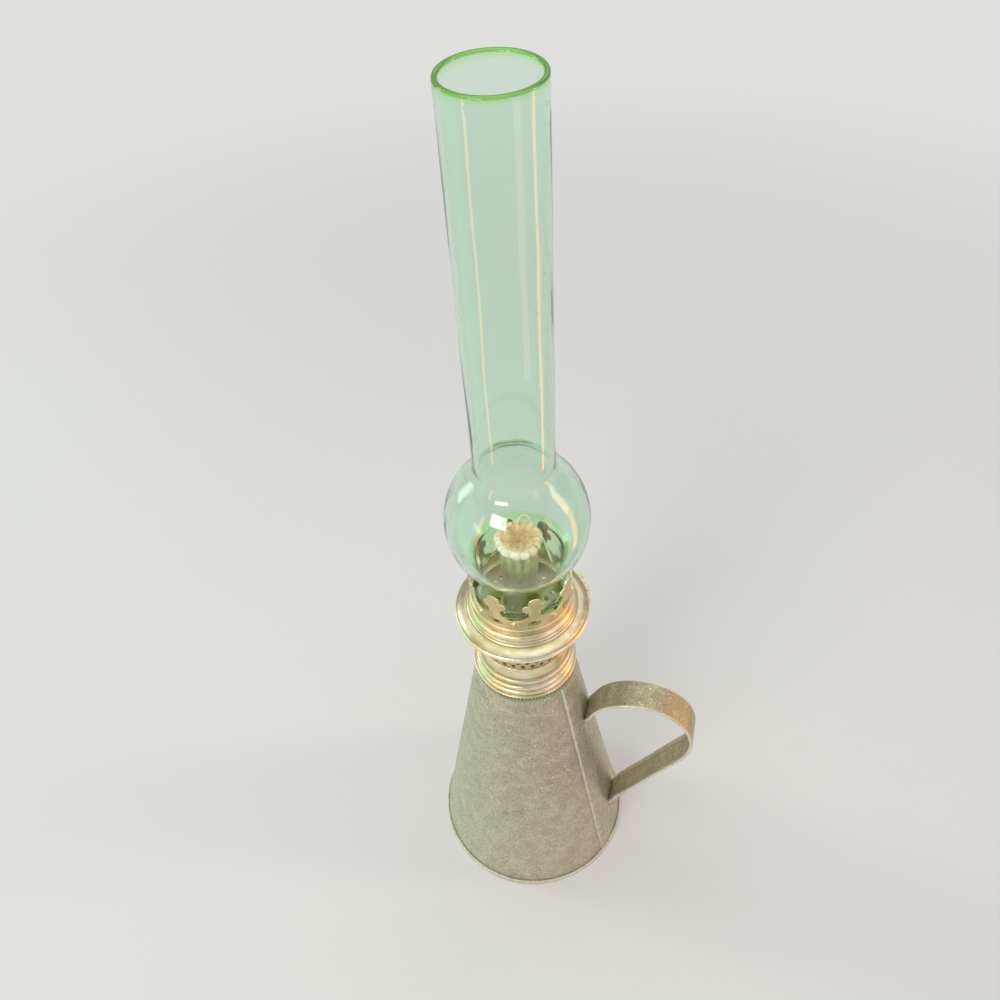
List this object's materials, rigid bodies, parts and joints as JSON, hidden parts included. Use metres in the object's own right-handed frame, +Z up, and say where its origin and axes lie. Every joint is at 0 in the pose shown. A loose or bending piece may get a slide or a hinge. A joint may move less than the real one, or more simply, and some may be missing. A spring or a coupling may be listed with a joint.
{
  "type": "kerosene hand lamp",
  "caption": "Small kerosene hand lamp: conical sheet-metal font with strap handle, screw-in brass round-wick burner with leaf crown, bulbed glass chimney.",
  "frame": {"origin": "middle of the foot, on the plane of the table", "axes": "+Z up along the lamp's axis; +X from the axis towards the handle"},
  "size_m": [0.1186, 0.09, 0.3743],
  "materials": {
    "zinc_sheet": "dull galvanised sheet, mottled, with handling marks",
    "solder": "soft solder, matt with a brighter edge",
    "brass": "pale stamped brass, satin, lightly tarnished in the grooves",
    "dull_brass": "darkened brass, tarnished",
    "cotton": "woven cotton wick, scorched tan at the end",
    "green_glass": "clear pale green blown glass, fire-polished rims"
  },
  "bodies": {
    "font": {"font_cone": "zinc_sheet", "font_bottom": "zinc_sheet", "handle": "zinc_sheet", "handle_solder": "solder", "font_collar": "brass"},
    "burner": {"burner_neck": "brass", "burner_floor": "dull_brass", "burner_basket": "dull_brass", "air_plate": "dull_brass", "gallery_flange": "brass", "gallery_crown": "brass", "wick_tube": "brass", "draft_tube": "brass", "air_duct": "brass", "raiser_housing": "dull_brass", "spindle_bush": "brass"},
    "wick_gear": {"wick_spindle": "brass", "star_wheels": "dull_brass", "thumbwheel": "brass", "spindle_rivet": "brass"},
    "wick": {"wick": "cotton", "wick_top": "cotton"},
    "chimney": {"chimney": "green_glass"}
  },
  "joints": [
    {"name": "burner_turn", "type": "hinge", "parent": "font", "child": "burner", "pos_m": [0, 0, 0.1399], "axis": [0, 0, 1], "range_deg": [0, 720]},
    {"name": "chimney_lift", "type": "slide", "parent": "burner", "child": "chimney", "axis": [0, 0, 1], "range_m": [0, 0.05]},
    {"name": "knob_turn", "type": "hinge", "parent": "burner", "child": "wick_gear", "pos_m": [-0.00536, 0.00858, 0.1524], "axis": [-0.848, -0.5299, 0], "range_deg": [-51, 102]},
    {"name": "wick_raise", "type": "slide", "parent": "burner", "child": "wick", "axis": [0, 0, 1], "range_m": [-0.003, 0.006], "deforming": ["wick_top"]}
  ],
  "couplings": [
    {"joint": "knob_turn", "follows": "wick_raise", "rad_per_m": 294.1}
  ]
}
